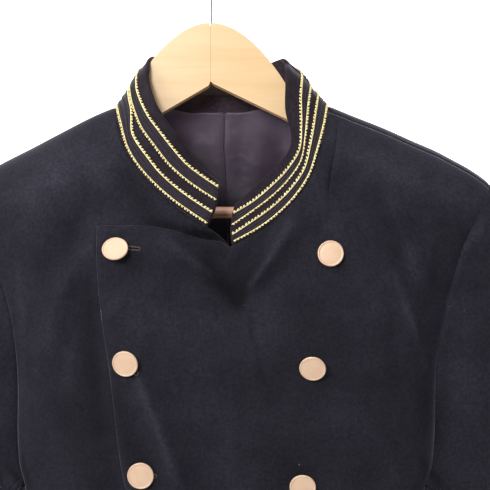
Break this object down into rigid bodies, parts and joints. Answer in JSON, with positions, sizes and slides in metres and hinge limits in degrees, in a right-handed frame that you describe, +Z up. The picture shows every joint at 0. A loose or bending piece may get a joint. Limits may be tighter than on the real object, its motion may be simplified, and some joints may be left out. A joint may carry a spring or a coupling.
{
  "type": "napoleon jacket on its hanger",
  "caption": "Black velvet double-breasted jacket with a braided stand collar and flat metal buttons, hanging on a wooden hanger with a wire hook.",
  "frame": {"origin": "the top of the hook's inside, where it rests on a rail", "axes": "+Z up, -Y the jacket's front, +X towards the wearer's left"},
  "size_m": [0.6402, 0.1445, 0.8191],
  "materials": {
    "velvet": "pile, soft sheen",
    "lining": "satin",
    "braid": "metallic thread with black ribs",
    "label_cloth": "matt",
    "button_metal": "satin",
    "wood": "satin varnish",
    "steel": "bright"
  },
  "bodies": {
    "root": {"front_left": "velvet", "front_right": "velvet", "side_left": "velvet", "side_right": "velvet", "back_left": "velvet", "back_right": "velvet", "sleeve_top_left": "velvet", "sleeve_top_right": "velvet", "sleeve_under_left": "velvet", "sleeve_under_right": "velvet", "collar": "velvet", "braid_lower": "braid", "braid_upper": "braid", "label": "label_cloth", "lining_back": "lining", "button_1": "button_metal", "button_2": "button_metal", "button_3": "button_metal", "button_4": "button_metal", "button_5": "button_metal", "button_6": "button_metal", "button_7": "button_metal", "button_8": "button_metal", "hanger_left": "wood", "hanger_right": "wood", "hanger_bar": "wood", "hanger_hook": "steel"}
  },
  "joints": []
}
